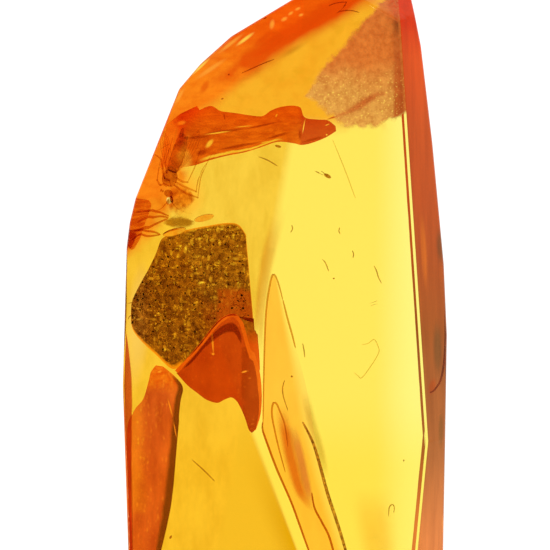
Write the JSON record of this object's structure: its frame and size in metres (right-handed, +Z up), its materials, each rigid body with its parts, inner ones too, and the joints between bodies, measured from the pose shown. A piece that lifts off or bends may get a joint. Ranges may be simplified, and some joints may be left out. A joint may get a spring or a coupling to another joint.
{
  "type": "insect in amber",
  "caption": "Polished clear amber lying on its flat back, long and faceted with a narrow tip, with a fossil gnat and plant litter sealed inside.",
  "frame": {"origin": "on the resting face, under the middle of the bounding box", "axes": "+Z up from the flat back to the front face, +Y along the stone towards its narrow tip, +X across it to the bevelled edge"},
  "size_m": [0.0258, 0.0548, 0.0136],
  "materials": {
    "amber": "polished clear honey amber",
    "gnat": "dark brown fossil cuticle",
    "wing": "thin clear brown membrane",
    "litter": "crumbled bark and plant litter",
    "veil": "red orange film on an old crack",
    "bubble": "shiny gas bubble"
  },
  "bodies": {
    "root": {"amber": "amber"}
  },
  "joints": []
}
